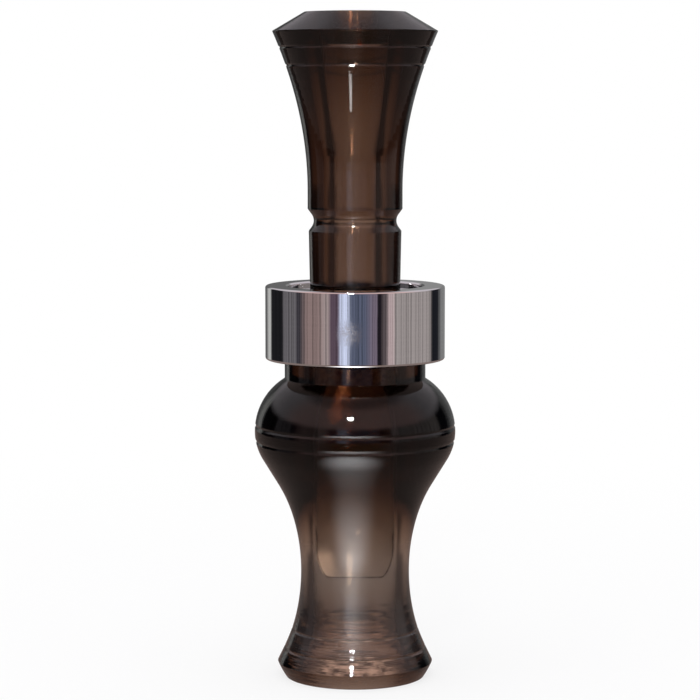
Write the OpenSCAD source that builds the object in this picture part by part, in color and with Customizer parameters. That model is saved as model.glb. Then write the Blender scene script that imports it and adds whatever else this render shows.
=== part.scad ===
// Double-reed duck call, standing on the lip of its mouthpiece with the insert on top.
// A turned barrel carries a metal band. The insert plugs into the barrel's bore on two rings
// and holds the tone board, with both reeds clamped under a cork wedge in a notch.
// Millimetres, +Z up along the bore, origin at the middle of the lip. The reeds face -Y.

/* [Barrel] */
// Length of the barrel, from its lip to the end that the insert seats on
barrel_len = 73.2; // [71:0.1:80]
// Diameter of the bore, the standard five eighths of an inch
bore_d = 15.875; // [15.6:0.005:16.2]
// Diameter of the bore's flare at the lip
mouth_d = 21.6; // [19:0.1:23]
// Depth of the flare
flare_len = 11; // [8:0.5:14]
// Outer diameter of the flat ring that the lip ends in
foot_d = 26.2; // [25:0.1:27]
// Diameter of the lip at its widest
lip_d = 29.2; // [28:0.1:31]
// Height of the lip's widest edge above the flat ring
lip_h = 2.8; // [2:0.1:3.5]
// Diameter of the waist
waist_d = 20.4; // [19.5:0.1:22]
// Height of the waist
waist_h = 20.1; // [18:0.1:22]
// Diameter of the bulb
bulb_d = 37.7; // [36:0.1:39]
// Radius of the bulb's outline below its widest line
bulb_low_round = 10; // [9:0.1:11]
// Radius of the bulb's outline above its widest line
bulb_high_round = 11.6; // [11:0.1:12.4]
// Angle that the flank under the bulb leans away from the axis
flank_angle = 31.6; // [29:0.1:34]
// Length of the flank's straight part, along the axis
flank_len = 4.6; // [3:0.1:6]
// Diameter of the neck between the bulb and the band
neck_d = 26.4; // [26:0.1:28]
// Length of the neck
neck_len = 3.7; // [2:0.1:6]

/* [Band] */
// Outer diameter of the metal band
band_d = 33.6; // [32:0.1:35]
// Length of the band
band_len = 13.8; // [11:0.1:15]
// Diameter of the band's bore, which is glued on the barrel's end
band_bore_d = 25.4; // [24:0.1:25.8]
// How far the band stands past the barrel's end
band_proud = 0.8; // [0:0.1:1]
// Radius of the band's rounded outer edges
band_round = 0.4; // [0.2:0.1:1.2]
// Bevel on the band's inner edge
band_inner_bevel = 0.3; // [0.1:0.1:0.5]

/* [Insert] */
// Length of the insert that shows above the barrel
stem_len = 51.5; // [48:0.1:56]
// Width of the shoulder that seats on the barrel, beyond the bore
shoulder_w = 0.5; // [0.4:0.05:1.2]
// Diameter of the stem where its taper ends in the lanyard groove
stem_low_d = 17.3; // [17:0.1:18.6]
// Diameter of the stem above the lanyard groove
stem_d = 17.7; // [17.4:0.1:19]
// Height of the lanyard groove above the seat
lanyard_h = 12.9; // [10:0.1:15]
// Diameter of the floor of the lanyard groove
lanyard_floor_d = 15.45; // [14.5:0.05:16]
// Radius of the lanyard groove's round floor
lanyard_round = 2; // [1.5:0.1:2.5]
// Angle that the groove's straight sides lean away from the axis
lanyard_angle = 36; // [30:1:45]
// Height above the seat at which the bell starts to widen
bell_h = 18.5; // [17.5:0.1:22]
// Diameter of the bell's rim
rim_d = 30.7; // [28:0.1:33]
// Height of the crown above the rim
crown_len = 3.6; // [3:0.1:5]
// Outer diameter of the flat ring on top of the crown
crown_d = 18.8; // [17:0.1:20]
// Width of the rim's blunt edge
rim_edge = 0.1; // [0.05:0.05:0.5]
// Diameter of the exhaust bore, five sixteenths of an inch
exhaust_d = 7.94; // [7.4:0.02:9.4]
// How far above the plug's end the exhaust bore stops
exhaust_stop = 1.8; // [1:0.1:3]
// Diameter of the exhaust's taper where it leaves the crown
exhaust_mouth_d = 14; // [12:0.1:15.5]
// Depth of the exhaust's taper
exhaust_taper_len = 26.3; // [20:0.1:32]

/* [Tenon and rings] */
// Length of the plug below the seat
tenon_len = 12.2; // [11.5:0.1:15]
// Radial clearance between the plug and the bore
tenon_gap = 0.08; // [0.05:0.01:0.1]
// Thickness of each rubber ring's section
ring_section = 1.78; // [1.5:0.01:2]
// Depth of the upper ring's middle below the seat
ring_depth = 3.4; // [3:0.1:4]
// Distance between the two rings
ring_pitch = 5.2; // [4.5:0.1:5.8]
// Width of each ring's groove
ring_groove_w = 2.3; // [2.2:0.1:2.8]
// Radial clearance of a ring in the bore and in its groove
ring_gap = 0.02; // [0.01:0.01:0.05]

/* [Tone board] */
// Length of the notch that the cork holds the reeds in, along its mouth
notch_len = 8; // [7:0.1:9]
// How far the notch's back wall leans in under the plug
notch_undercut = 2; // [1:0.1:2.5]
// Length of the board from the cork to its tip
board_len = 32.5; // [29:0.1:34]
// Radial clearance between the board's rod and the barrel's bore
board_gap = 0.44; // [0.25:0.01:0.6]
// Distance of the board's flat in front of the axis
flat_offset = 0.8; // [0.2:0.1:1.6]
// How far the board's face falls away from the flat at the tip
tip_drop = 1.6; // [1:0.1:2.2]
// Width of the tip's square end
tip_flat_w = 9.8; // [8:0.1:11]
// Radius of the tip's corners
tip_corner_r = 1.2; // [0.8:0.1:1.5]
// Angle at which the tip's curved sides reach the corners
tip_angle = 30; // [24:1:36]
// Diameter of the tone channel
channel_d = 5.6; // [4.5:0.1:6.4]
// Distance from the tip to the tone channel's round end
channel_stop = 5; // [4:0.1:7]

/* [Reeds and cork] */
// Thickness of each reed
reed_t = 0.25; // [0.2:0.01:0.35]
// How far the reeds' edges stay inside the edges of the board's flat
reed_margin = 0.36; // [0.2:0.02:0.8]
// How far the long reed's tip stays back from the board's tip
reed_back = 0.3; // [0.1:0.1:1]
// How much shorter the upper reed is
reed_step = 6; // [4:0.1:8]
// Gap between the reeds' tails and the notch's back wall
tail_gap = 0.2; // [0.1:0.05:0.5]
// Height of the dimple that keeps the reeds apart
dimple_h = 0.35; // [0.25:0.05:0.5]
// Diameter of the dimple at its foot
dimple_d = 2.6; // [2:0.1:3.2]
// Distance from the upper reed's tip to the dimple
dimple_back = 3.5; // [3:0.1:5]
// How far the cork's front face slopes back
cork_slope_len = 3.2; // [2:0.1:4]

/* [Turned lines] */
// Width of each fine turned line round the mouthpiece and the bell
line_w = 0.55; // [0.3:0.05:0.7]
// Width of each turned line round the bulb
bulb_line_w = 0.8; // [0.5:0.05:1]
// Depth of each turned line
line_deep = 0.2; // [0.1:0.01:0.3]
// Heights of the lines round the mouthpiece
mouth_line_low_h = 5.4; // [4.6:0.1:6]
mouth_line_high_h = 8.9; // [7.5:0.1:9.5]
// Distances of the lines round the bulb above and below its widest line
bulb_line_up = 1.1; // [0.6:0.1:1.6]
bulb_line_down = 1.8; // [1:0.1:3.5]
// Distances of the lines round the bell below its rim
bell_line_high = 2.9; // [2:0.1:4]
bell_line_low = 6.2; // [5:0.1:7]

/* [Hidden] */
$fn = 96;

// Cuts run past the faces that they leave by this much
over = 1;
// Small bevel that leads the plug and its rings into the bore
lead_in = 0.2;
// Glue line between the band and the barrel
glue_gap = 0.02;
// Clearance between a reed's edge and the board's edge at the tip
reed_inset = 0.25;
// Straight pieces that one curved stretch of an outline is drawn with
curve_steps = 14;
corner_steps = 5;

// Shares of the waist's curves: where their middle stations lie and how steep they run there
cove_height_share = 0.54;
cove_rise_share = 0.263;
cove_slope_share = 1;
// Steepness of the curves at their ends, against the straight line between them
lip_slope_share = 1.95;
rim_slope_share = 1.99;
flare_slope_share = 1.7;
foot_slope_share = 1.2;
under_lip_slope_share = 0.7;

// Heights and radii that follow from the sizes above
bore_r = bore_d / 2;
band_top = barrel_len + band_proud;
band_z = band_top - band_len;
bulb_high_r = bulb_d / 2 - bulb_high_round;
neck_angle = acos((neck_d / 2 - bulb_high_r) / bulb_high_round);
bulb_h = band_z - neck_len - bulb_high_round * sin(neck_angle);
seat_z = barrel_len;
top_z = seat_z + stem_len;
rim_z = top_z - crown_len;
tenon_r = bore_r - tenon_gap;
tenon_z = seat_z - tenon_len;
board_r = bore_r - board_gap;
flat_y = -flat_offset;
reed_half_w = sqrt(pow(board_r, 2) - pow(flat_offset, 2)) - reed_margin;
notch_z = tenon_z - notch_undercut;
notch_lean = notch_undercut / (board_r - flat_offset);
flex_z = notch_z - notch_len;
tip_z = flex_z - board_len;
face_round = (pow(board_len, 2) + pow(tip_drop, 2)) / (2 * tip_drop);
ring_r = bore_r - ring_gap - ring_section / 2;
ring_floor_r = bore_r - 2 * ring_gap - ring_section;
rear_ring_z = seat_z - ring_depth;
front_ring_z = rear_ring_z - ring_pitch;
exhaust_z = tenon_z + exhaust_stop;
reed_top_y = flat_y - 2 * reed_t;
reed_tip_z = tip_z + reed_back;
short_tip_z = reed_tip_z + reed_step;
dimple_z = short_tip_z + dimple_back;
reed_spread = dimple_h / (flex_z - dimple_z);
cork_back_z = tenon_z - notch_lean * 2 * reed_t;
tail_z = cork_back_z - tail_gap;

smoke = [0.30, 0.22, 0.19];

// A stretch of outline between two stations of [height, radius, slope], as [radius, height]
function curve(a, b, from = 0) = [
    for (i = [from:curve_steps])
        let (
            t = i / curve_steps,
            h = b[0] - a[0],
            r = (1 + 2 * t) * pow(1 - t, 2) * a[1] + t * pow(1 - t, 2) * h * a[2]
                + pow(t, 2) * (3 - 2 * t) * b[1] + pow(t, 2) * (t - 1) * h * b[2]
        )
        [r, a[0] + t * h]
];

// The slope of the straight line between two stations
function chord(a, b) = (b[1] - a[1]) / (b[0] - a[0]);

// The station part of the way up a cove, from its waist to its end
function cove_station(waist, end) = [
    waist[0] + cove_height_share * (end[0] - waist[0]),
    waist[1] + cove_rise_share * (end[1] - waist[1]),
    cove_slope_share * chord(waist, end)
];

// An arc about a centre of [radius, height], from one angle to another
function arc(centre, r, from, to, steps) = [
    for (i = [0:steps])
        let (a = from + (to - from) * i / steps)
        [centre[0] + r * cos(a), centre[1] + r * sin(a)]
];

// One side of a tongue's end, from its square tip round the corner and up the ogive side
function tongue_side(half_w, flat_half_w, corner) =
    let (
        corner_w = flat_half_w + corner * cos(tip_angle),
        ogive = (half_w - corner_w) / (1 - cos(tip_angle)),
        full_z = corner * (1 - sin(tip_angle)) + ogive * sin(tip_angle)
    )
    concat(
        arc([flat_half_w, corner], corner, -90, -tip_angle, corner_steps),
        [for (p = arc([half_w - ogive, full_z], ogive, -tip_angle, 0, curve_steps)) if (p[0] > corner_w) p]
    );

// The barrel's outside, from the foot ring up to the neck
lip = [lip_h, lip_d / 2, 0];
waist = [waist_h, waist_d / 2, 0];
bulb_low_centre = [bulb_d / 2 - bulb_low_round, bulb_h];
bulb_high_centre = [bulb_high_r, bulb_h];
flank_high = bulb_low_centre + bulb_low_round * [cos(flank_angle), -sin(flank_angle)];
flank = [
    flank_high[1] - flank_len,
    flank_high[0] - flank_len * tan(flank_angle),
    tan(flank_angle)
];
foot = [0, foot_d / 2, 0];
cove_low = cove_station(waist, lip);
cove_high = cove_station(waist, flank);
barrel_side = concat(
    curve(
        [foot[0], foot[1], foot_slope_share * chord(foot, lip)],
        [lip[0], lip[1], under_lip_slope_share * chord(foot, lip)]
    ),
    curve([lip[0], lip[1], lip_slope_share * chord(waist, lip)], cove_low, 1),
    curve(cove_low, waist, 1),
    curve(waist, cove_high, 1),
    curve(cove_high, flank, 1),
    arc(bulb_low_centre, bulb_low_round, -flank_angle, 0, curve_steps),
    [for (p = arc(bulb_high_centre, bulb_high_round, 0, neck_angle, curve_steps)) if (p[1] > bulb_h) p]
);

// The bore's flare, from the lip up
mouth = [0, mouth_d / 2, 0];
flare_end = [flare_len, bore_r, 0];
flare = curve([mouth[0], mouth[1], flare_slope_share * chord(mouth, flare_end)], flare_end);

// The bell's outside, from the stem up to the rim
bell_foot = [seat_z + bell_h, stem_d / 2, 0];
bell_rim = [rim_z, rim_d / 2, 0];
bell_side = curve(bell_foot, [rim_z, rim_d / 2, rim_slope_share * chord(bell_foot, bell_rim)]);

// The insert's blank as it comes off the lathe: tongue, plug, stem, bell and crown
blank_side = concat(
    [[0, tip_z]],
    [for (p = tongue_side(board_r, tip_flat_w / 2, tip_corner_r)) [p[0], tip_z + p[1]]],
    [
        [board_r, tenon_z],
        [tenon_r - lead_in, tenon_z],
        [tenon_r, tenon_z + lead_in],
        [tenon_r, seat_z],
        [bore_r + shoulder_w, seat_z],
        [stem_low_d / 2, seat_z + lanyard_h],
        [stem_d / 2, seat_z + lanyard_h]
    ],
    bell_side,
    [
        [rim_d / 2, rim_z + rim_edge],
        [crown_d / 2, top_z],
        [0, top_z]
    ]
);

// Radius of an outline at a height
function radius_at(side, z) = lookup(z, [for (p = side) [p[1], p[0]]]);

// A fine V turned into an outline at a height, as wide as given where it meets the outline
module turned_line(side, z, w) {
    r = radius_at(side, z);
    rotate_extrude()
        polygon([[r - line_deep, z], [r + line_deep, z - w], [r + line_deep, z + w]]);
}

// A round hole up the axis
module hole(d, from, to) {
    translate([0, 0, from])
        cylinder(d = d, h = to - from);
}

// A slab across the call, drawn in [y, z] and spread over the given width along X
module across(w) {
    rotate([90, 0, 90])
        linear_extrude(w, center = true)
            children();
}

// A flat sheet drawn in [x, z], from its front face at y back over its thickness
module sheet(y, t) {
    translate([0, y + t, 0])
        rotate([90, 0, 0])
            linear_extrude(t)
                children();
}

// The turned acrylic barrel: lip, waist, bulb, neck and the seat for the band
module barrel() {
    color(smoke)
    difference() {
        rotate_extrude()
            polygon(concat(
                barrel_side,
                [
                    [neck_d / 2, band_z],
                    [band_bore_d / 2 - glue_gap, band_z],
                    [band_bore_d / 2 - glue_gap, barrel_len],
                    [bore_r + lead_in, barrel_len],
                    [bore_r, barrel_len - lead_in]
                ],
                [for (i = [curve_steps:-1:0]) flare[i]]
            ));
        turned_line(barrel_side, mouth_line_low_h, line_w);
        turned_line(barrel_side, mouth_line_high_h, line_w);
        turned_line(barrel_side, bulb_h + bulb_line_up, bulb_line_w);
        turned_line(barrel_side, bulb_h - bulb_line_down, bulb_line_w);
    }
}

// The polished metal band round the barrel's end
module band() {
    color([0.82, 0.83, 0.85])
    rotate_extrude()
        polygon(concat(
            [[band_bore_d / 2, band_z]],
            arc([band_d / 2 - band_round, band_z + band_round], band_round, -90, 0, corner_steps),
            arc([band_d / 2 - band_round, band_top - band_round], band_round, 0, 90, corner_steps),
            [
                [band_bore_d / 2 + band_inner_bevel, band_top],
                [band_bore_d / 2, band_top - band_inner_bevel]
            ]
        ));
}

// The turned and milled insert, with the tone board in one piece with it
module insert() {
    color(smoke)
    difference() {
        rotate_extrude()
            polygon(blank_side);
        hole(exhaust_d, exhaust_z, top_z);
        translate([0, 0, top_z - exhaust_taper_len])
            cylinder(d1 = exhaust_d, d2 = exhaust_mouth_d, h = exhaust_taper_len);
        hole(exhaust_mouth_d, top_z, top_z + over);
        tone_channel();
        board_face();
        cork_notch();
        ring_groove(rear_ring_z);
        ring_groove(front_ring_z);
        lanyard_groove();
        turned_line(bell_side, rim_z - bell_line_high, line_w);
        turned_line(bell_side, rim_z - bell_line_low, line_w);
    }
}

// The channel under the reeds, milled with a ball-nosed cutter from the exhaust to near the tip
module tone_channel() {
    end_z = tip_z + channel_stop + channel_d / 2;
    translate([0, flat_y, 0]) {
        hole(channel_d, end_z, exhaust_z + over);
        translate([0, 0, end_z])
            sphere(d = channel_d);
    }
}

// What is cut away in front of the board, so that its face curves back from the reeds
module board_face() {
    difference() {
        translate([-board_r - over, -board_r - over, tip_z - over])
            cube([2 * (board_r + over), board_r + over + flat_y + tip_drop + over, board_len + over]);
        translate([0, flat_y + face_round, flex_z])
            rotate([0, 90, 0])
                cylinder(r = face_round, h = 2 * board_r + 4 * over, center = true, $fn = 720);
    }
}

// The notch that the reeds' tails and the cork sit in, with its back wall leaning over them
module cork_notch() {
    across(2 * (board_r + over))
        polygon([
            [flat_y, flex_z - over],
            [flat_y, tenon_z],
            [-board_r - over, notch_z - notch_lean * over],
            [-board_r - over, flex_z - over]
        ]);
}

// The groove for a rubber ring
module ring_groove(z) {
    translate([0, 0, z - ring_groove_w / 2])
        difference() {
            cylinder(r = bore_r + over, h = ring_groove_w);
            translate([0, 0, -over])
                cylinder(r = ring_floor_r, h = ring_groove_w + 2 * over);
        }
}

// The round-bottomed groove that a lanyard's loop tightens into
module lanyard_groove() {
    floor_arc = arc(
        [lanyard_floor_d / 2 + lanyard_round, 0],
        lanyard_round, 180 + lanyard_angle, 180 - lanyard_angle, curve_steps
    );
    wall = floor_arc[curve_steps];
    far_r = stem_d / 2 + over;
    far_h = wall[1] + (far_r - wall[0]) / tan(lanyard_angle);
    translate([0, 0, seat_z + lanyard_h])
        rotate_extrude()
            polygon(concat(floor_arc, [[far_r, far_h], [far_r, -far_h]]));
}

// A rubber ring in its groove
module ring(z) {
    color([0.06, 0.06, 0.06])
    translate([0, 0, z])
        rotate_extrude()
            translate([ring_r, 0])
                circle(d = ring_section, $fn = 48);
}

module rear_o_ring() {
    ring(rear_ring_z);
}

module front_o_ring() {
    ring(front_ring_z);
}

// The cork, wedged under the notch's back wall on top of the reeds and trimmed to the rod
module cork_wedge() {
    color([0.76, 0.58, 0.38])
    intersection() {
        hole(2 * board_r, flex_z - over, tenon_z);
        across(2 * board_r)
            polygon([
                [reed_top_y, flex_z],
                [reed_top_y, cork_back_z],
                [-board_r, notch_z],
                [-board_r, flex_z + cork_slope_len]
            ]);
    }
}

// A reed's outline in [x, z]: square tail, straight sides and a tip cut to the board's shape
module reed_outline(end_z) {
    side = [
        for (p = tongue_side(reed_half_w, tip_flat_w / 2 - reed_inset, tip_corner_r))
            [p[0], end_z + p[1]]
    ];
    polygon(concat(
        side,
        [[reed_half_w, tail_z], [-reed_half_w, tail_z]],
        [for (i = [len(side) - 1:-1:0]) [-side[i][0], side[i][1]]]
    ));
}

// The long lower reed, flat on the board under the cork and clear of it towards the tip
module long_reed() {
    color([0.80, 0.76, 0.68])
    sheet(flat_y - reed_t, reed_t)
        reed_outline(reed_tip_z);
}

// The short upper reed, which its dimple holds off the long one
module short_reed() {
    back_y = flat_y - reed_t;
    spread = reed_spread * (flex_z - short_tip_z);
    dome_r = (pow(dimple_d / 2, 2) + pow(dimple_h, 2)) / (2 * dimple_h);
    dome_y = back_y - dome_r;
    color([0.84, 0.80, 0.72])
    difference() {
        union() {
            intersection() {
                sheet(back_y - over, 2 * over)
                    reed_outline(short_tip_z);
                across(2 * reed_half_w)
                    polygon([
                        [back_y, tail_z],
                        [back_y, flex_z],
                        [back_y - spread, short_tip_z],
                        [back_y - spread - reed_t, short_tip_z],
                        [back_y - reed_t, flex_z],
                        [back_y - reed_t, tail_z]
                    ]);
            }
            intersection() {
                translate([0, dome_y, dimple_z])
                    sphere(r = dome_r);
                translate([-dimple_d, back_y - dimple_h - reed_t / 2, dimple_z - dimple_d])
                    cube([2 * dimple_d, 2 * dimple_h, 2 * dimple_d]);
            }
        }
        translate([0, dome_y, dimple_z])
            sphere(r = dome_r - reed_t);
    }
}

barrel();
band();
insert();
rear_o_ring();
front_o_ring();
cork_wedge();
long_reed();
short_reed();
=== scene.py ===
import math
import bmesh
import bpy
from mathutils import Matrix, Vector


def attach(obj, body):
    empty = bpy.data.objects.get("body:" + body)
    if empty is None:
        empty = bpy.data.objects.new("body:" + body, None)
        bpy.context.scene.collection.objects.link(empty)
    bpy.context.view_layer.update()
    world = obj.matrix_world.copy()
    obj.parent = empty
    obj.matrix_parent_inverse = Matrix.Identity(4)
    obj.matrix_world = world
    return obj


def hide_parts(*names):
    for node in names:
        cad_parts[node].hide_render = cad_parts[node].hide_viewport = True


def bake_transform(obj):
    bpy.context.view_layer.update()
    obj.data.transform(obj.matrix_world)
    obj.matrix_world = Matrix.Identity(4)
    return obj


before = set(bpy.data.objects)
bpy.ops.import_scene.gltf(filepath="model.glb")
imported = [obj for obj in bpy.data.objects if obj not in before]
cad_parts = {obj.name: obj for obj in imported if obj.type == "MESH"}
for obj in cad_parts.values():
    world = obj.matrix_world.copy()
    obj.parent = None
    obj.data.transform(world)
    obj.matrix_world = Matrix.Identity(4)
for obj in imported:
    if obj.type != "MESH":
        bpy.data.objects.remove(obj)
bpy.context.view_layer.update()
MM = 0.001

# Camera
# The photograph was taken with a long lens, a little above the call, which stands just right of
# the picture's middle.
PICTURE_PX = 700
LENS_PX = 2550
CAMERA_AWAY = 478.1
CAMERA_UP_DEG = 5.9
AIM_Z = 61.8
CALL_RIGHT_OF_MIDDLE = 0.95

lens = bpy.data.cameras.new("long_lens")
lens.sensor_width = 36
lens.lens = LENS_PX / PICTURE_PX * lens.sensor_width
camera = bpy.data.objects.new("camera", lens)
bpy.context.scene.collection.objects.link(camera)
camera_up = math.radians(CAMERA_UP_DEG)
camera.location = Vector((
    -CALL_RIGHT_OF_MIDDLE,
    -CAMERA_AWAY * math.cos(camera_up),
    AIM_Z + CAMERA_AWAY * math.sin(camera_up),
)) * MM
camera.rotation_euler = (math.pi / 2 - camera_up, 0, 0)
bpy.context.scene.camera = camera
bpy.context.scene.view_settings.view_transform = "Standard"


# Floor and light
# A pale table top and a pale backdrop. The polished parts mirror ROOM, a ring of colours round the
# call, and not the backdrop. Plain light comes from overhead and from beside the camera, and the
# bright spots from lamps that only mirrored rays, or rays through the acrylic, see. To such rays
# some of the floor is brighter than white.
FLOOR_R = 450
WHITE = (1, 1, 1, 1)
PAPER = (0.86, 0.86, 0.86, 1)
UPPER_WALL_FRONT = (0.72, 0.50, 0.48, 1)
UPPER_WALL_BACK = (0.55, 0.51, 0.54, 1)
OVERHEAD = (0.26, 0.21, 0.22, 1)
UNDER_HORIZON = (0.07, 0.05, 0.045, 1)
WALL_THROUGH = (0.14, 0.105, 0.09, 1)
PLAIN_LIGHT = (0.95, 0.95, 0.97, 1)
FLOOR_CLOSE_BEHIND = (0.55, 0.55, 0.55, 1)
FLOOR_BESIDE = (0.10, 0.085, 0.08, 1)
# Painted light and painted shade on the floor under the mouth, which rays through the lip see
MOUTH_FLOOR_LIGHT = (1.15, 0.95, 0.85, 1)
MOUTH_FLOOR_SHADE = (0.16, 0.13, 0.12, 1)
FLOOR_LIT_RING = (1.6, 1.45, 1.3, 1)
FLOOR_SHADOW_RING = (0.02, 0.018, 0.016, 1)
FLOOR_MIRRORED = (0.22, 0.17, 0.155, 1)
FLOOR_MIRRORED_FRONT = (0.50, 0.42, 0.40, 1)
FLOOR_MIRRORED_FAR = (0.16, 0.10, 0.06, 1)
FLASH_PATCH = (5.0, 5.0, 5.1, 1)
FLASH_PATCH_AT = (-6, -62, 0)
WINDOW_WEDGE = (170, 165, 138, 1)
# Where the lamps hang: metres away, degrees to the camera's left, degrees up
FLASH_PLACE = (0.9, 6, 37)
OVERHEAD_PLACE = (1.2, 20, 70)
LOW_PLACE = (0.172, 8.8, -30)
FLASH_AIM_Z = 92
FLASH_WIDE = 0.11
FLASH_CONE_DEG = 8.8
LOW_AIM_Z = 114
LOW_SPREAD_DEG = 40
# What the polished parts mirror: from and to, in degrees to the right of the camera's side, and
# colour. The colours were sampled from the band in the photograph and retuned, which the rules for
# this script don't allow. They are to be replaced by a room made without the photograph's values.
ROOM = [
    (-180, -156, (0.13, 0.13, 0.13)),
    (-145, -140, (0.60, 0.60, 0.58)),
    (-134, -107, (0.013, 0.013, 0.015)),
    (-103, -82, (0.15, 0.14, 0.15)),
    (-80, -75, (0.055, 0.05, 0.06)),
    (-64, -47, (0.28, 0.20, 0.19)),
    (-38, -35, (0.40, 0.32, 0.31)),
    (-31, -22, (0.11, 0.075, 0.10)),
    (-18, -10, (0.68, 0.74, 0.95)),
    (-5, 12, (0.105, 0.12, 0.18)),
    (23, 27, (0.20, 0.16, 0.21)),
    (29, 33, (0.013, 0.010, 0.014)),
    (35, 40, (0.10, 0.08, 0.085)),
    (44, 49, (0.55, 0.43, 0.43)),
    (53, 110, (0.36, 0.32, 0.31)),
    (117, 131, (0.013, 0.014, 0.018)),
    (147, 180, (0.25, 0.25, 0.25)),
]


def add_node(tree, kind, inputs=None, **settings):
    """Adds a node. Its inputs go by name or number, each with a value or another node's output."""
    node = tree.nodes.new(kind)
    for key, value in settings.items():
        setattr(node, key, value)
    for name, value in (inputs or {}).items():
        if isinstance(name, int):
            socket = node.inputs[name]
        else:
            socket = next(entry for entry in node.inputs if entry.name == name and entry.enabled)
        if isinstance(value, bpy.types.NodeSocket):
            tree.links.new(value, socket)
        else:
            socket.default_value = value
    return node


def worked(tree, operation, first, second):
    """Two numbers put through one operation."""
    return add_node(tree, "ShaderNodeMath", {0: first, 1: second}, operation=operation).outputs[0]


def measured(tree, operation, first, second=(0, 0, 0)):
    """Two vectors put through one operation."""
    node = add_node(tree, "ShaderNodeVectorMath", {0: first, 1: second}, operation=operation)
    return next(out for out in node.outputs if out.enabled)


def mixed(tree, share, first, second, kind="RGBA"):
    """A mix of two colours or numbers: the first where the share is 0, the second where it is 1."""
    inputs = {"Factor": share, "A": first, "B": second}
    node = add_node(tree, "ShaderNodeMix", inputs, data_type=kind)
    return next(out for out in node.outputs if out.enabled)


def span(tree, value, start, end, low=0.0, high=1.0):
    """Carries a number from one range to another, smoothly and clamped."""
    inputs = {"Value": value, "From Min": start, "From Max": end, "To Min": low, "To Max": high}
    node = add_node(tree, "ShaderNodeMapRange", inputs, interpolation_type="SMOOTHSTEP")
    return node.outputs["Result"]


def new_material(name):
    """A material and its node tree, which is still empty."""
    material = bpy.data.materials.new(name)
    material.use_nodes = True
    material.node_tree.nodes.clear()
    return material, material.node_tree


def room_colour(tree, direction):
    """The room's colour in a direction, by how far it is turned from the camera's side."""
    quarter_turn = (0, 0, math.radians(90))
    turned = add_node(tree, "ShaderNodeMapping", {"Vector": direction, "Rotation": quarter_turn})
    around = add_node(
        tree, "ShaderNodeTexGradient", {"Vector": turned.outputs[0]}, gradient_type="RADIAL"
    )
    ramp = add_node(tree, "ShaderNodeValToRGB", {"Fac": around.outputs["Fac"]})
    stops = ramp.color_ramp.elements
    stops.remove(stops[-1])
    edges = [(degrees, colour) for start, end, colour in ROOM for degrees in (start, end)][1:-1]
    for at, (degrees, colour) in enumerate(edges):
        stop = stops.new((degrees + 180) / 360) if at else stops[0]
        stop.position = (degrees + 180) / 360
        stop.color = (*colour, 1)
    folds = add_node(
        tree, "ShaderNodeTexNoise", {"W": around.outputs["Fac"], "Scale": 140, "Detail": 3},
        noise_dimensions="1D",
    )
    shade = span(tree, folds.outputs["Fac"], 0.35, 0.65, 0.55, 1.35)
    return measured(tree, "MULTIPLY", ramp.outputs["Color"], mixed(tree, shade, (0, 0, 0, 1), WHITE))


world = bpy.data.worlds.new("dim_room")
bpy.context.scene.world = world
world.use_nodes = True
sky = world.node_tree
sky.nodes.clear()
rays = add_node(sky, "ShaderNodeLightPath")
way = add_node(sky, "ShaderNodeTexCoord").outputs["Generated"]
parts = add_node(sky, "ShaderNodeSeparateXYZ", {"Vector": way})
toward_back = parts.outputs["Y"]
upward = parts.outputs["Z"]
through_call = rays.outputs["Is Transmission Ray"]
# The pale backdrop is seen only through the acrylic, and reaches further round above the floor
behind = mixed(
    sky, span(sky, upward, -0.05, 0.0), span(sky, toward_back, 0.7, 0.93),
    span(sky, toward_back, 0.5, 0.75), "FLOAT",
)
backdrop = worked(sky, "MULTIPLY", behind, through_call)
side_walls = mixed(sky, through_call, room_colour(sky, way), WALL_THROUGH)
walls = mixed(sky, backdrop, side_walls, WHITE)
walls = mixed(sky, span(sky, upward, -0.2, -0.14), UNDER_HORIZON, walls)
upper = mixed(sky, span(sky, toward_back, -0.3, 0.3), UPPER_WALL_FRONT, UPPER_WALL_BACK)
upper = mixed(sky, span(sky, upward, 0.75, 0.9), upper, OVERHEAD)
room = mixed(sky, span(sky, upward, 0.25, 0.4), walls, upper)
# Matt surfaces get an even light, and the camera sees white
lit = mixed(sky, span(sky, rays.outputs["Diffuse Depth"], 0.2, 0.8), room, PLAIN_LIGHT)
seen = mixed(sky, rays.outputs["Is Camera Ray"], lit, WHITE)
shine = add_node(sky, "ShaderNodeBackground", {"Color": seen})
add_node(sky, "ShaderNodeOutputWorld", {"Surface": shine.outputs[0]})

table = bmesh.new()
bmesh.ops.create_circle(table, cap_ends=True, segments=128, radius=FLOOR_R * MM)
floor_mesh = bpy.data.meshes.new("table_top")
table.to_mesh(floor_mesh)
table.free()
floor = bpy.data.objects.new("table_top", floor_mesh)
bpy.context.scene.collection.objects.link(floor)
paper, sheet = new_material("white_paper")
rays = add_node(sheet, "ShaderNodeLightPath")
to_eye = rays.outputs["Is Camera Ray"]
through_call = rays.outputs["Is Transmission Ray"]
place = add_node(sheet, "ShaderNodeTexCoord").outputs["Object"]
away = measured(sheet, "LENGTH", place)
way = add_node(sheet, "ShaderNodeSeparateXYZ", {"Vector": measured(sheet, "NORMALIZE", place)})
toward_right = way.outputs["X"]
toward_back = way.outputs["Y"]
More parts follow.
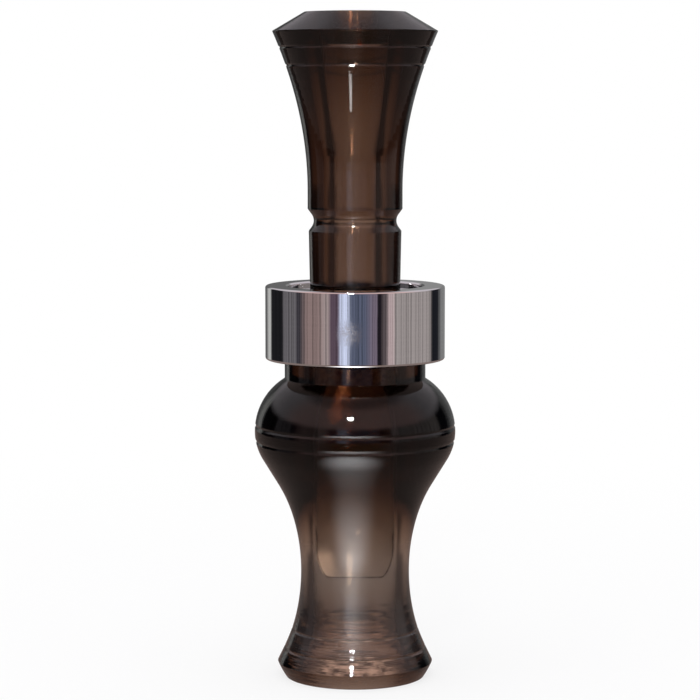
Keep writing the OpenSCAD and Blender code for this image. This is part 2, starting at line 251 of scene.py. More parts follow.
# The floor through the acrylic: painted light, mottled with painted shade, inside the mouth, with
# rings of painted light and shade behind
blotches = add_node(sheet, "ShaderNodeTexNoise", {"Vector": place, "Scale": 420, "Detail": 2})
mottled = mixed(
    sheet, span(sheet, blotches.outputs["Fac"], 0.35, 0.65), MOUTH_FLOOR_SHADE, MOUTH_FLOOR_LIGHT
)
inside = mixed(sheet, span(sheet, away, 0.005, 0.0095), mottled, MOUTH_FLOOR_SHADE)
behind = mixed(sheet, span(sheet, away, 0.0225, 0.0235), FLOOR_LIT_RING, FLOOR_SHADOW_RING)
behind = mixed(sheet, span(sheet, away, 0.0278, 0.0295), behind, FLOOR_CLOSE_BEHIND)
behind = mixed(sheet, span(sheet, away, 0.1, 0.25), behind, WHITE)
through = mixed(sheet, span(sheet, toward_back, 0.7, 0.95), FLOOR_BESIDE, behind)
through = mixed(sheet, span(sheet, away, 0.0105, 0.012), inside, through)
# To rays through the acrylic, a wedge of the floor in front glows far past white. It glints in the
# reeds
wedge = worked(
    sheet, "MULTIPLY", span(sheet, toward_right, -0.36, -0.27),
    span(sheet, toward_right, -0.21, -0.12, 1, 0),
)
wedge = worked(sheet, "MULTIPLY", wedge, span(sheet, away, 0.09, 0.13))
wedge = worked(sheet, "MULTIPLY", wedge, span(sheet, toward_back, -0.1, 0, 1, 0))
through = mixed(sheet, wedge, through, WINDOW_WEDGE)
# The floor that the polished parts mirror, with the flash's patch of light on it
front = span(sheet, toward_back, -0.97, -0.75, 1, 0)
front_floor = mixed(sheet, span(sheet, away, 0.06, 0.1), FLOOR_MIRRORED_FRONT, FLOOR_MIRRORED_FAR)
mirrored = mixed(sheet, front, FLOOR_MIRRORED, front_floor)
from_patch = measured(sheet, "DISTANCE", place, Vector(FLASH_PATCH_AT) * MM)
mirrored = mixed(sheet, span(sheet, from_patch, 0.0, 0.045, 1, 0), mirrored, FLASH_PATCH)
sharp = mixed(sheet, through_call, mirrored, through)
glow = add_node(sheet, "ShaderNodeEmission", {"Color": mixed(sheet, to_eye, sharp, WHITE)})
# To the camera it glows white and keeps a share of matt paper near the call, for the shadow
whiteness = span(sheet, away, 0.03, 0.3, 0.75, 1.0)
to_camera = worked(sheet, "MULTIPLY", to_eye, whiteness)
sharp_ray = worked(sheet, "MAXIMUM", rays.outputs["Is Glossy Ray"], through_call)
not_yet_diffuse = worked(sheet, "LESS_THAN", rays.outputs["Diffuse Depth"], 0.5)
glow_share = worked(
    sheet, "MAXIMUM", to_camera, worked(sheet, "MULTIPLY", sharp_ray, not_yet_diffuse)
)
matt = add_node(sheet, "ShaderNodeBsdfDiffuse", {"Color": PAPER})
blend = add_node(
    sheet, "ShaderNodeMixShader", {0: glow_share, 1: matt.outputs[0], 2: glow.outputs[0]}
)
add_node(sheet, "ShaderNodeOutputMaterial", {"Surface": blend.outputs[0]})
floor_mesh.materials.append(paper)


def hang_lamp(name, kind, lamp_place, aim_z, seen_by, **settings):
    """A lamp that faces a height on the call's axis and counts for one kind of ray."""
    lamp_away, left_deg, up_deg = lamp_place
    left = math.radians(left_deg)
    up = math.radians(up_deg)
    toward = Vector((
        -math.sin(left) * math.cos(up),
        -math.cos(left) * math.cos(up),
        math.sin(up),
    ))
    data = bpy.data.lights.new(name, kind)
    for key, value in settings.items():
        setattr(data, key, value)
    lamp = bpy.data.objects.new(name, data)
    bpy.context.scene.collection.objects.link(lamp)
    lamp.visible_camera = False
    lamp.visible_diffuse = seen_by == "diffuse"
    lamp.visible_glossy = seen_by == "glossy"
    lamp.visible_transmission = seen_by == "transmission"
    lamp.location = Vector((0, 0, aim_z * MM)) + toward * lamp_away
    lamp.rotation_euler = toward.to_track_quat("Z", "Y").to_euler()


# The flash's cone ends above the lip, which gets a weaker share of it
hang_lamp(
    "flash", "SPOT", FLASH_PLACE, FLASH_AIM_Z, "glossy", energy=37,
    shadow_soft_size=FLASH_WIDE / 2, spot_size=math.radians(FLASH_CONE_DEG), spot_blend=0.17,
)
for name, energy, seen_by in (
    ("flash_on_lip", 0.22, "glossy"), ("flash_through", 1.2, "transmission"),
    ("camera_lamp", 1.0, "diffuse"),
):
    hang_lamp(name, "AREA", FLASH_PLACE, AIM_Z, seen_by, energy=energy, size=FLASH_WIDE)
hang_lamp("overhead_lamp", "AREA", OVERHEAD_PLACE, AIM_Z, "diffuse", energy=2.5, size=0.9)
# A narrow lamp just over the table, whose mirror image is the glint on the bell
hang_lamp(
    "low_lamp", "AREA", LOW_PLACE, LOW_AIM_Z, "glossy", energy=0.00035,
    shape="RECTANGLE", size=0.013, size_y=0.022, spread=math.radians(LOW_SPREAD_DEG),
)


# Barrel
# One piece of smoke-brown acrylic rod, turned to a lip, a waist and a bulb, bored through and
# polished. Pairs of fine lines are cut into the lip and the bulb.
BARREL_LEN = 73.2
BORE_R = 7.9375
MOUTH_R = 10.8
FLARE_LEN = 11
FOOT_R = 13.1
LIP_R = 14.6
LIP_H = 2.8
WAIST_R = 10.2
WAIST_H = 20.1
BULB_R = 18.85
BULB_LOW_ROUND = 10
BULB_HIGH_ROUND = 11.6
FLANK_DEG = 31.6
FLANK_LEN = 4.6
NECK_R = 13.2
NECK_LEN = 3.7
BAND_Z = 60.2
BAND_BORE_R = 12.7
LINE_WIDE = 0.55
BULB_LINE_WIDE = 0.8
LINE_DEEP = 0.2
LIP_LINES = (5.4, 8.9)
BULB_LINES = (-1.8, 1.1)
GLUE_GAP = 0.02
BORE_EDGE = 0.2
# The coves' middles, as shares of the way from the waist, and how hard the curves leave their ends
COVE_SHARE_H = 0.54
COVE_SHARE_R = 0.263
LIP_PULL = 1.95
FOOT_PULL = (1.2, 0.7)
FLARE_PULL = 1.7
ACRYLIC_IOR = 1.49
SMOKE = (0.455, 0.295, 0.182, 1)
SMOKE_DENSITY = 440
SATIN = 0.14
BARREL_HAZE = 0.075
BARREL_HAZE_HEIGHTS = (2, 28)
TURN_STEPS = 160
CURVE_STEPS = 22


def curve(low, high):
    """Points up a stretch between two stations of (height, radius, slope), without the first."""
    rise = high[0] - low[0]
    points = []
    for step in range(1, CURVE_STEPS + 1):
        t = step / CURVE_STEPS
        r = (
            (1 + 2 * t) * (1 - t) ** 2 * low[1] + t * (1 - t) ** 2 * rise * low[2]
            + t * t * (3 - 2 * t) * high[1] + t * t * (t - 1) * rise * high[2]
        )
        points.append((r, low[0] + t * rise))
    return points


def arc(middle_r, middle_z, radius, start_deg, end_deg, steps=CURVE_STEPS):
    """Points along an arc in the lathe's (radius, height) plane."""
    angles = [math.radians(start_deg + (end_deg - start_deg) * s / steps) for s in range(steps + 1)]
    return [(middle_r + radius * math.cos(a), middle_z + radius * math.sin(a)) for a in angles]


def cut_line(side, height, wide):
    """Cuts a fine V into an outline at a height."""
    low = height - wide / 2
    high = height + wide / 2
    below = [p for p in side if p[1] < low]
    above = [p for p in side if p[1] > high]
    slope = (above[0][0] - below[-1][0]) / (above[0][1] - below[-1][1])
    middle = below[-1][0] + slope * (height - below[-1][1])
    lean = slope * wide / 2
    cut = [(middle - lean, low), (middle - LINE_DEEP, height), (middle + lean, high)]
    return below + cut + above


def held(outline):
    """Adds a point near both ends of each long straight, which keeps its shading flat."""
    points = []
    for at, point in enumerate(outline):
        start = Vector(point)
        end = Vector(outline[(at + 1) % len(outline)])
        points.append(tuple(start))
        if (end - start).length > 1:
            along = (end - start).normalized() * 0.1
            points += [tuple(start + along), tuple(end - along)]
    return points


def eased(outline, radius=0.06, least_deg=25):
    """Rounds every corner of a closed outline that turns by more than an angle."""
    rounded = []
    for at, point in enumerate(outline):
        before, corner, after = (Vector(outline[(at + k) % len(outline)]) for k in (-1, 0, 1))
        back = (before - corner).normalized()
        ahead = (after - corner).normalized()
        half = back.angle(ahead) / 2
        if math.pi - 2 * half < math.radians(least_deg) or point[0] == 0:
            rounded.append(point)
            continue
        room_beside = 0.45 * min((before - corner).length, (after - corner).length)
        reach = min(radius / math.tan(half), room_beside)
        start = corner + back * reach
        end = corner + ahead * reach
        for share in (0, 0.25, 0.5, 0.75, 1):
            first = start.lerp(corner, share)
            second = corner.lerp(end, share)
            rounded.append(tuple(first.lerp(second, share)))
    return held(rounded)


def spun(outline, closed=True):
    """Spins an outline of (radius, height) in millimetres round the call's axis."""
    lathe = bmesh.new()
    rim = [lathe.verts.new((r * MM, 0, z * MM)) for r, z in outline]
    pairs = list(zip(rim, rim[1:]))
    if closed:
        pairs.append((rim[-1], rim[0]))
    edges = [lathe.edges.new(pair) for pair in pairs]
    bmesh.ops.spin(
        lathe, geom=rim + edges, cent=(0, 0, 0), axis=(0, 0, 1),
        angle=2 * math.pi, steps=TURN_STEPS, use_merge=True,
    )
    bmesh.ops.remove_doubles(lathe, verts=lathe.verts[:], dist=1e-7)
    bmesh.ops.recalc_face_normals(lathe, faces=lathe.faces[:])
    return lathe


def finished(name, shape, sharp_deg=28):
    """Turns a bmesh into a smooth-shaded object whose edges stay sharp past an angle."""
    mesh = bpy.data.meshes.new(name)
    shape.to_mesh(mesh)
    shape.free()
    mesh.shade_smooth()
    mesh.set_sharp_from_angle(angle=math.radians(sharp_deg))
    piece = bpy.data.objects.new(name, mesh)
    bpy.context.scene.collection.objects.link(piece)
    return piece


def stretched_noise(tree, place, scale, detail=2):
    """Noise that varies at its own rate along each axis."""
    stretched = add_node(tree, "ShaderNodeMapping", {"Vector": place, "Scale": scale})
    inputs = {"Vector": stretched.outputs[0], "Scale": 1, "Detail": detail}
    return add_node(tree, "ShaderNodeTexNoise", inputs).outputs["Fac"]


def smoke_acrylic(name, drilled_r, haze, haze_from, haze_to):
    """Smoke-brown acrylic that takes up more light the thicker it is.

    It is satin where drills and cutters left it, inside a radius, and polished elsewhere. A haze
    of fine turning marks stays between two heights, where the polishing wheel reached least.
    """
    tinted, tree = new_material(name)
    place = add_node(tree, "ShaderNodeTexCoord").outputs["Object"]
    level = measured(tree, "MULTIPLY", place, (1, 1, 0))
    radius = measured(tree, "LENGTH", level)
    drilled = span(tree, radius, drilled_r * MM, (drilled_r + 0.2) * MM, 1, 0)
    smears = add_node(tree, "ShaderNodeTexNoise", {"Vector": place, "Scale": 90, "Detail": 5})
    polished = span(tree, smears.outputs["Fac"], 0.3, 0.7, 0.0, 0.03)
    height = add_node(tree, "ShaderNodeSeparateXYZ", {"Vector": place}).outputs["Z"]
    rings = stretched_noise(tree, place, (20, 20, 900))
    deep_at_lip = span(tree, height, 0.008, 0.018, 1, 0.06)
    bump = add_node(tree, "ShaderNodeBump", {
        "Height": worked(tree, "MULTIPLY", rings, deep_at_lip),
        "Strength": 1,
        "Distance": 0.00018,
    })
    gloss = add_node(tree, "ShaderNodeBsdfPrincipled", {
        "Base Color": WHITE,
        "Transmission Weight": 1,
        "IOR": ACRYLIC_IOR,
        "Roughness": mixed(tree, drilled, polished, SATIN, "FLOAT"),
        "Normal": bump.outputs["Normal"],
    })
    around = add_node(tree, "ShaderNodeTangent", direction_type="RADIAL", axis="Z")
    marks = add_node(tree, "ShaderNodeBsdfAnisotropic", {
        "Color": WHITE,
        "Roughness": 0.5,
        "Anisotropy": 0.5,
        "Tangent": around.outputs[0],
    })
    rising = span(tree, height, haze_from * MM, (haze_from + 8) * MM)
    falling = span(tree, height, (haze_to - 7) * MM, haze_to * MM, 1, 0)
    patchy = span(tree, smears.outputs["Fac"], 0.3, 0.7, 0.8 * haze, 1.2 * haze)
    hazy = worked(tree, "MULTIPLY", worked(tree, "MULTIPLY", rising, falling), patchy)
    skin = add_node(
        tree, "ShaderNodeMixShader", {0: hazy, 1: gloss.outputs[0], 2: marks.outputs[0]}
    )
    tint = add_node(
        tree, "ShaderNodeVolumeAbsorption", {"Color": SMOKE, "Density": SMOKE_DENSITY}
    )
    add_node(
        tree, "ShaderNodeOutputMaterial", {"Surface": skin.outputs[0], "Volume": tint.outputs[0]}
    )
    return tinted


flank_slope = math.tan(math.radians(FLANK_DEG))
neck_deg = math.degrees(math.acos((NECK_R - BULB_R + BULB_HIGH_ROUND) / BULB_HIGH_ROUND))
BULB_H = BAND_Z - NECK_LEN - BULB_HIGH_ROUND * math.sin(math.radians(neck_deg))
flank_high_r = BULB_R - BULB_LOW_ROUND + BULB_LOW_ROUND * math.cos(math.radians(FLANK_DEG))
flank_low_h = BULB_H - BULB_LOW_ROUND * math.sin(math.radians(FLANK_DEG)) - FLANK_LEN
flank = (flank_low_h, flank_high_r - FLANK_LEN * flank_slope, flank_slope)
waist = (WAIST_H, WAIST_R, 0)
lip_slope = LIP_PULL * (WAIST_R - LIP_R) / (WAIST_H - LIP_H)
foot_slope = (LIP_R - FOOT_R) / LIP_H
flare_slope = FLARE_PULL * (BORE_R - MOUTH_R) / FLARE_LEN


def cove_station(end_h, end_r):
    """The middle of a cove, part of the way from the waist to its end."""
    rise = end_h - WAIST_H
    widening = end_r - WAIST_R
    return (WAIST_H + COVE_SHARE_H * rise, WAIST_R + COVE_SHARE_R * widening, widening / rise)


cove_low = cove_station(LIP_H, LIP_R)
cove_high = cove_station(flank[0], flank[1])
side = [(FOOT_R, 0)]
side += curve((0, FOOT_R, FOOT_PULL[0] * foot_slope), (LIP_H, LIP_R, FOOT_PULL[1] * foot_slope))
side += curve((LIP_H, LIP_R, lip_slope), cove_low)
side += curve(cove_low, waist) + curve(waist, cove_high) + curve(cove_high, flank)
side += arc(BULB_R - BULB_LOW_ROUND, BULB_H, BULB_LOW_ROUND, -FLANK_DEG, 0)
side += arc(BULB_R - BULB_HIGH_ROUND, BULB_H, BULB_HIGH_ROUND, 0, neck_deg)[1:]
for line_h in LIP_LINES:
    side = cut_line(side, line_h, LINE_WIDE)
for above_middle in BULB_LINES:
    side = cut_line(side, BULB_H + above_middle, BULB_LINE_WIDE)
flare = [(MOUTH_R, 0)] + curve((0, MOUTH_R, flare_slope), (FLARE_LEN, BORE_R, 0))
glue_seat_r = BAND_BORE_R - GLUE_GAP
barrel_end = [
    (NECK_R, BAND_Z), (glue_seat_r, BAND_Z), (glue_seat_r, BARREL_LEN),
    (BORE_R + BORE_EDGE, BARREL_LEN), (BORE_R, BARREL_LEN - BORE_EDGE),
]
barrel = finished("barrel_turned", spun(eased(side + barrel_end + flare[::-1])))
barrel_acrylic = smoke_acrylic("smoke_acrylic", BORE_R + 0.03, BARREL_HAZE, *BARREL_HAZE_HEIGHTS)
barrel.data.materials.append(barrel_acrylic)
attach(barrel, "barrel")
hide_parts("barrel")


# Band
# A thick aluminium ring with rounded edges, turned and polished to a mirror, glued on the
# barrel's end. Handling has left a small patch of scuffs on its front.
BAND_R = 16.8
BAND_LEN = 13.8
BAND_ROUND = 0.4
BAND_BORE_EDGE = 0.3
BAND_TOP = BAND_Z + BAND_LEN
SCUFFS_AT = (-1.0, -16.8, 66.4)
ALUMINIUM_DULL = (0.84, 0.84, 0.86, 1)
ALUMINIUM_BRIGHT = (0.96, 0.96, 0.97, 1)

band_side = [(BAND_BORE_R, BAND_Z)]
band_side += arc(BAND_R - BAND_ROUND, BAND_Z + BAND_ROUND, BAND_ROUND, -90, 0, 8)
band_side += arc(BAND_R - BAND_ROUND, BAND_TOP - BAND_ROUND, BAND_ROUND, 0, 90, 8)
band_side += [(BAND_BORE_R + BAND_BORE_EDGE, BAND_TOP), (BAND_BORE_R, BAND_TOP - BAND_BORE_EDGE)]
band = finished("band_polished", spun(eased(band_side)))


def polished_aluminium():
    """Mirror-polished aluminium, not quite even, with faint lathe rings and a patch of scuffs."""
    metal, tree = new_material("polished_aluminium")
    place = add_node(tree, "ShaderNodeTexCoord").outputs["Object"]
    rings = stretched_noise(tree, place, (60, 60, 5200), 4)
    tone = mixed(tree, rings, ALUMINIUM_DULL, ALUMINIUM_BRIGHT)
    to_scuffs = measured(tree, "DISTANCE", place, Vector(SCUFFS_AT) * MM)
    crossed = add_node(tree, "ShaderNodeTexNoise", {
        "Vector": place, "Scale": 2600, "Detail": 4, "Distortion": 1
    })
    scratched = span(tree, crossed.outputs["Fac"], 0.3, 0.7, 0.3, 1)
    scuffed = worked(tree, "MULTIPLY", scratched, span(tree, to_scuffs, 0.0, 0.004, 1, 0))
    smooth = span(tree, rings, 0.3, 0.7, 0.02, 0.06)
    waves = add_node(tree, "ShaderNodeTexNoise", {"Vector": place, "Scale": 110})
    uneven = add_node(
        tree, "ShaderNodeBump", {"Height": waves.outputs["Fac"], "Strength": 0.5, "Distance": 0.00005}
    )
    fine = add_node(tree, "ShaderNodeBump", {
        "Height": rings,
        "Strength": 0.05,
        "Distance": 0.00002,
        "Normal": uneven.outputs["Normal"],
    })
    bright = add_node(tree, "ShaderNodeBsdfPrincipled", {
        "Metallic": 1,
        "Base Color": tone,
        "Roughness": mixed(tree, scuffed, smooth, 0.32, "FLOAT"),
        "Normal": fine.outputs["Normal"],
    })
    add_node(tree, "ShaderNodeOutputMaterial", {"Surface": bright.outputs[0]})
    return metal


band.data.materials.append(polished_aluminium())
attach(band, "barrel")
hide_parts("band")


# Insert
# One piece of the same acrylic, turned outside and bored for the exhaust. The tone board at its
# lower end is milled: a curved face, a round-nosed channel and a notch for the cork.
INSERT_HAZE = 0.005
INSERT_HAZE_HEIGHTS = (66, 134)
SEAT_Z = BARREL_LEN
TOP_Z = 124.7
STEM_LOW_R = 8.65
STEM_R = 8.85
LANYARD_Z = SEAT_Z + 12.9
LANYARD_FLOOR_R = 7.725
LANYARD_ROUND = 2
LANYARD_DEG = 36
BELL_Z = SEAT_Z + 18.5
RIM_R = 15.35
RIM_Z = TOP_Z - 3.6
RIM_EDGE = 0.1
BELL_PULL = 1.99
BELL_LINES = (6.2, 2.9)
CROWN_R = 9.4
EXHAUST_R = 3.97
EXHAUST_MOUTH_R = 7.0
EXHAUST_TAPER = 26.3
TENON_Z = SEAT_Z - 12.2
TENON_R = BORE_R - 0.08
TENON_EDGE = 0.2
EXHAUST_Z = TENON_Z + 1.8
RING_SECTION = 1.78
RING_GROOVE = 2.3
RING_FLOOR_R = BORE_R - 0.04 - RING_SECTION
RING_HEIGHTS = (SEAT_Z - 3.4, SEAT_Z - 8.6)
BOARD_R = BORE_R - 0.44
FLAT_Y = -0.8
NOTCH_UNDERCUT = 2
NOTCH_Z = TENON_Z - NOTCH_UNDERCUT
FLEX_Z = NOTCH_Z - 8
BOARD_LEN = 32.5
TIP_Z = FLEX_Z - BOARD_LEN
TIP_DROP = 1.6
TIP_FLAT_HALF = 4.9
TIP_CORNER = 1.2
TIP_DEG = 30
CHANNEL_R = 2.8
CHANNEL_Z = TIP_Z + 5


def tongue_side(half_wide, flat_half):
    """One side of a tongue's end: square tip, rounded corner, then the ogive side."""
    leaning = math.radians(TIP_DEG)
    corner_wide = flat_half + TIP_CORNER * math.cos(leaning)
    ogive = (half_wide - corner_wide) / (1 - math.cos(leaning))
    full = TIP_CORNER * (1 - math.sin(leaning)) + ogive * math.sin(leaning)
    corner = arc(flat_half, TIP_CORNER, TIP_CORNER, -90, -TIP_DEG, 8)
    return corner + arc(half_wide - ogive, full, ogive, -TIP_DEG, 0)[1:]


groove_floor = arc(
    LANYARD_FLOOR_R + LANYARD_ROUND, LANYARD_Z, LANYARD_ROUND, 180 + LANYARD_DEG, 180 - LANYARD_DEG
)
wall_r, wall_z = groove_floor[-1]
wall_slope = math.tan(math.radians(LANYARD_DEG))
groove_high_z = wall_z + (STEM_R - wall_r) / wall_slope
groove_low_z = 2 * LANYARD_Z - wall_z - (STEM_LOW_R - wall_r) / wall_slope
bell_slope = BELL_PULL * (RIM_R - STEM_R) / (RIM_Z - BELL_Z)
bell = [(STEM_R, BELL_Z)] + curve((BELL_Z, STEM_R, 0), (RIM_Z, RIM_R, bell_slope))
for under_rim in BELL_LINES:
    bell = cut_line(bell, RIM_Z - under_rim, LINE_WIDE)
blank = [(0, TIP_Z)]
blank += [(r, TIP_Z + z) for r, z in tongue_side(BOARD_R, TIP_FLAT_HALF)]
blank += [(BOARD_R, TENON_Z), (TENON_R - TENON_EDGE, TENON_Z), (TENON_R, TENON_Z + TENON_EDGE)]
for ring_z in RING_HEIGHTS[::-1]:
    low = ring_z - RING_GROOVE / 2
    high = ring_z + RING_GROOVE / 2
    blank += [(TENON_R, low), (RING_FLOOR_R, low), (RING_FLOOR_R, high), (TENON_R, high)]
blank += [(TENON_R, SEAT_Z + 0.01), (BORE_R + 0.5, SEAT_Z + 0.01)]
blank += [(STEM_LOW_R, groove_low_z)] + groove_floor + [(STEM_R, groove_high_z)]
blank += bell
blank += [(RIM_R, RIM_Z + RIM_EDGE), (CROWN_R, TOP_Z), (EXHAUST_MOUTH_R, TOP_Z)]
blank += [(EXHAUST_R, TOP_Z - EXHAUST_TAPER), (EXHAUST_R, EXHAUST_Z), (0, EXHAUST_Z)]
insert = finished("insert_turned", spun(eased(blank), closed=False))
insert_acrylic = smoke_acrylic(
    "smoke_acrylic_insert", BOARD_R - 0.2, INSERT_HAZE, *INSERT_HAZE_HEIGHTS
)
insert.data.materials.append(insert_acrylic)


def thickened(shape, faces, by):
    """Makes flat faces into a closed solid by a vector."""
    spread = bmesh.ops.extrude_face_region(shape, geom=faces)
    moved = [part for part in spread["geom"] if isinstance(part, bmesh.types.BMVert)]
    bmesh.ops.translate(shape, verts=moved, vec=by)
    bmesh.ops.recalc_face_normals(shape, faces=shape.faces[:])


def slab(outline, half_wide):
    """A solid drawn as (y, z) points in millimetres and spread along X."""
    shape = bmesh.new()
    face = shape.faces.new([shape.verts.new((-half_wide * MM, y * MM, z * MM)) for y, z in outline])
    thickened(shape, [face], (2 * half_wide * MM, 0, 0))
    return shape


def carve(piece, tools, how="DIFFERENCE"):
    """Cuts a piece with solids for good, or keeps only what lies in them, and clears them away."""
    for tool in tools:
        step = piece.modifiers.new(tool.name, "BOOLEAN")
        step.operation = how
        step.solver = "EXACT"
        step.object = tool
    seen_now = bpy.context.evaluated_depsgraph_get()
    whole = piece.data
    piece.data = bpy.data.meshes.new_from_object(piece.evaluated_get(seen_now))
    piece.modifiers.clear()
    bpy.data.meshes.remove(whole)
    for tool in tools:
        bpy.data.objects.remove(tool)
    tidy = bmesh.new()
    tidy.from_mesh(piece.data)
    bmesh.ops.remove_doubles(tidy, verts=tidy.verts[:], dist=1e-7)
    tidy.to_mesh(piece.data)
    tidy.free()
    piece.data.shade_smooth()
    piece.data.set_sharp_from_angle(angle=math.radians(28))


face_round = (BOARD_LEN ** 2 + TIP_DROP ** 2) / (2 * TIP_DROP)
face_line = []
for step in range(CURVE_STEPS + 1):
    down = (BOARD_LEN + 1) * step / CURVE_STEPS
    back = face_round - math.sqrt(face_round ** 2 - down ** 2)
    face_line.append((FLAT_Y + back, FLEX_Z - down))
clear_y = -BORE_R - 1
notch_lean = NOTCH_UNDERCUT / (BOARD_R + FLAT_Y)
face_cutter = slab(
    [(clear_y, NOTCH_Z - notch_lean), (FLAT_Y, TENON_Z)] + face_line + [(clear_y, TIP_Z - 1)],
    BORE_R + 1,
)
channel_side = [(0, CHANNEL_Z)] + arc(0, CHANNEL_Z + CHANNEL_R, CHANNEL_R, -90, 0)[1:]
channel_side += [(CHANNEL_R, EXHAUST_Z + 0.5), (0, EXHAUST_Z + 0.5)]
channel_cutter = spun(channel_side, closed=False)
bmesh.ops.translate(channel_cutter, verts=channel_cutter.verts[:], vec=(0, FLAT_Y * MM, 0))
carve(insert, [finished("face_cutter", face_cutter), finished("channel_cutter", channel_cutter)])
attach(insert, "insert")
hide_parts("insert")


# O-rings
# Two black nitrile rubber rings in the grooves of the plug. They seal the insert and grip it.
def nitrile_rubber():
    """Black nitrile rubber, faintly dusty."""
    black, tree = new_material("nitrile_rubber")
    place = add_node(tree, "ShaderNodeTexCoord").outputs["Object"]
    dust = add_node(tree, "ShaderNodeTexNoise", {"Vector": place, "Scale": 900})
    grey = mixed(tree, dust.outputs["Fac"], (0.010, 0.010, 0.010, 1), (0.022, 0.021, 0.020, 1))
    body = add_node(tree, "ShaderNodeBsdfPrincipled", {
        "Base Color": grey,
        "Roughness": span(tree, dust.outputs["Fac"], 0.3, 0.7, 0.35, 0.6),
    })
    add_node(tree, "ShaderNodeOutputMaterial", {"Surface": body.outputs[0]})
    return black


rubber = nitrile_rubber()
ring_middle = BORE_R - 0.02 - RING_SECTION / 2
for node, ring_z in zip(("rear_o_ring", "front_o_ring"), RING_HEIGHTS):
    section = arc(ring_middle, ring_z, RING_SECTION / 2, 0, 360, 24)[:-1]
    ring = finished(node + "_moulded", spun(section))
    ring.data.materials.append(rubber)
    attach(ring, "seals")
    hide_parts(node)


# Reeds
# Two tongues of frosted polyester film, cut to the shape of the board's end. The upper one is
# shorter and has a pressed dimple that holds it off the lower one.
REED_T = 0.25
REED_HALF = math.sqrt(BOARD_R ** 2 - FLAT_Y ** 2) - 0.36
REED_TIP_Z = TIP_Z + 0.3
SHORT_TIP_Z = REED_TIP_Z + 6
TAIL_Z = TENON_Z - notch_lean * 2 * REED_T - 0.2
FILM_FLAT_HALF = TIP_FLAT_HALF - 0.25
LONG_FRONT_Y = FLAT_Y - REED_T - 0.005
SHORT_FRONT_Y = FLAT_Y - 2 * REED_T - 0.01
MILK = ((0.84, 0.81, 0.76, 1), (0.92, 0.89, 0.85, 1))
# Near black on the long reed's border: painted shade for the dark line along its edge
PAINTED_EDGE_SHADE = ((0.02, 0.015, 0.015, 1), (0.04, 0.03, 0.03, 1))
DIMPLE_H = 0.35
DIMPLE_R = 1.3
DIMPLE_Z = SHORT_TIP_Z + 3.5
BORDER_WIDE = 0.24
BEND_ROWS = 46
FILM_COLUMNS = 26


def sliced(sheet, at, across):
    """Cuts edges into a sheet along a plane."""
    whole = sheet.verts[:] + sheet.edges[:] + sheet.faces[:]
    bmesh.ops.bisect_plane(sheet, geom=whole, plane_co=at, plane_no=across)


def reed_sheet(tip_z):
    """A flat film in the XZ plane, sliced both ways so that it can bend and take its dimple.

    A border as wide as the film is thick gets the second material, painted shade on the long reed.
    """
    sheet = bmesh.new()
    side = [(x, tip_z + z) for x, z in tongue_side(REED_HALF, FILM_FLAT_HALF)]
    side.append((REED_HALF, TAIL_Z))
    around = side + [(-x, z) for x, z in side[::-1]]
    face = sheet.faces.new([sheet.verts.new((x * MM, 0, z * MM)) for x, z in around])
    face.normal_update()
    border = bmesh.ops.inset_individual(sheet, faces=[face], thickness=BORDER_WIDE * MM)
    for strip in border["faces"]:
        strip.material_index = 1
    for row in range(1, BEND_ROWS):
        at = (0, 0, (tip_z + (TAIL_Z - tip_z) * row / BEND_ROWS) * MM)
        sliced(sheet, at, (0, 0, 1))
    for column in range(1, FILM_COLUMNS):
        at = (REED_HALF * (2 * column / FILM_COLUMNS - 1) * MM, 0, 0)
        sliced(sheet, at, (1, 0, 0))
    return sheet


def reed_film(name, low, high):
    """Frosted polyester film with faint scuffs along its length, milky, or near black as painted
    shade.
    """
    frosted, tree = new_material(name)
    place = add_node(tree, "ShaderNodeTexCoord").outputs["Object"]
    scuffs = stretched_noise(tree, place, (700, 700, 90))
    body = add_node(tree, "ShaderNodeBsdfPrincipled", {
        "Base Color": mixed(tree, scuffs, low, high),
        "Transmission Weight": 0.04,
        "IOR": 1.65,
        "Roughness": span(tree, scuffs, 0.3, 0.7, 0.14, 0.18),
    })
    add_node(tree, "ShaderNodeOutputMaterial", {"Surface": body.outputs[0]})
    return frosted


film = reed_film("reed_film", *MILK)
# The long reed's border: near-black painted shade
painted_edge_shade_film = reed_film("reed_film_painted_edge_shade", *PAINTED_EDGE_SHADE)


def clamp_reed(name, node, sheet, edge_film, front_y, spread):
    """Gives a film its thickness and leans its free part off the board."""
    for v in sheet.verts:
        free = max(0.0, FLEX_Z * MM - v.co.z)
        v.co.y += front_y * MM - spread * free
    thickened(sheet, sheet.faces[:], (0, REED_T * MM, 0))
    reed = finished(name, sheet, 40)
    reed.data.materials.append(film)
    reed.data.materials.append(edge_film)
    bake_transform(reed)
    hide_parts(node)


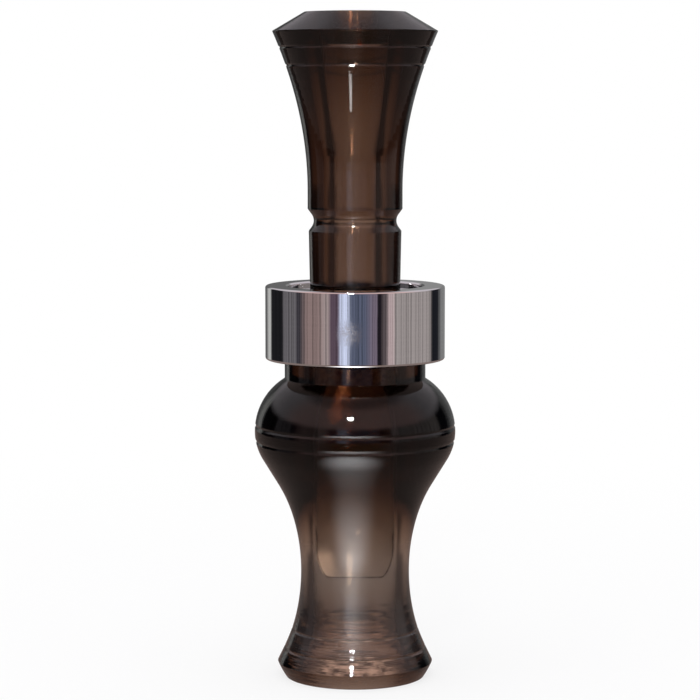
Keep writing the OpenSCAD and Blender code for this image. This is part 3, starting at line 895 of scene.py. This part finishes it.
long_sheet = reed_sheet(REED_TIP_Z)
clamp_reed("long_reed_film", "long_reed", long_sheet, painted_edge_shade_film, LONG_FRONT_Y, 0)
short_sheet = reed_sheet(SHORT_TIP_Z)
dome_r = (DIMPLE_R ** 2 + DIMPLE_H ** 2) / (2 * DIMPLE_H)
for v in short_sheet.verts:
    off_dimple = math.hypot(v.co.x, v.co.z - DIMPLE_Z * MM) / MM
    if off_dimple < DIMPLE_R:
        v.co.y += (math.sqrt(dome_r ** 2 - off_dimple ** 2) - dome_r + DIMPLE_H) * MM
reed_spread = DIMPLE_H / (FLEX_Z - DIMPLE_Z)
clamp_reed("short_reed_film", "short_reed", short_sheet, film, SHORT_FRONT_Y, reed_spread)


# Cork wedge
# A block of composition cork, sanded to a wedge. It is pushed under the leaning wall of the
# notch and clamps both reeds.
CORK_SLOPE = 3.2
CORK_R = BOARD_R - 0.02
CORK_DARK = (0.30, 0.15, 0.07, 1)
CORK_LIGHT = (0.62, 0.40, 0.22, 1)
cork_front_y = FLAT_Y - 2 * REED_T - 0.02
cork_top_z = TENON_Z - notch_lean * 2 * REED_T - 0.01

cork_rod = spun(
    [(0, FLEX_Z - 1), (CORK_R, FLEX_Z - 1), (CORK_R, TENON_Z), (0, TENON_Z)], closed=False
)
cork = finished("cork_sanded", cork_rod)
wedge = slab(
    [
        (cork_front_y, FLEX_Z), (cork_front_y, cork_top_z),
        (-BOARD_R - 0.5, NOTCH_Z - notch_lean * 0.5 - 0.01), (-BOARD_R - 0.5, FLEX_Z + CORK_SLOPE),
    ],
    BOARD_R + 1,
)
carve(cork, [finished("wedge", wedge)], "INTERSECT")


def composition_cork():
    """Pressed cork granules in browns, with small pits between them."""
    pressed, tree = new_material("composition_cork")
    place = add_node(tree, "ShaderNodeTexCoord").outputs["Object"]
    granules = add_node(tree, "ShaderNodeTexVoronoi", {"Vector": place, "Scale": 1500})
    shade = add_node(tree, "ShaderNodeValToRGB", {"Fac": granules.outputs["Color"]})
    shade.color_ramp.elements[0].color = CORK_DARK
    shade.color_ramp.elements[1].color = CORK_LIGHT
    pits = add_node(tree, "ShaderNodeBump", {
        "Height": granules.outputs["Distance"],
        "Strength": 0.5,
        "Distance": 0.0001,
    })
    body = add_node(tree, "ShaderNodeBsdfPrincipled", {
        "Base Color": shade.outputs["Color"],
        "Roughness": 0.85,
        "Normal": pits.outputs["Normal"],
    })
    add_node(tree, "ShaderNodeOutputMaterial", {"Surface": body.outputs[0]})
    return pressed


cork.data.materials.clear()
cork.data.materials.append(composition_cork())
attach(cork, "insert")
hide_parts("cork_wedge")
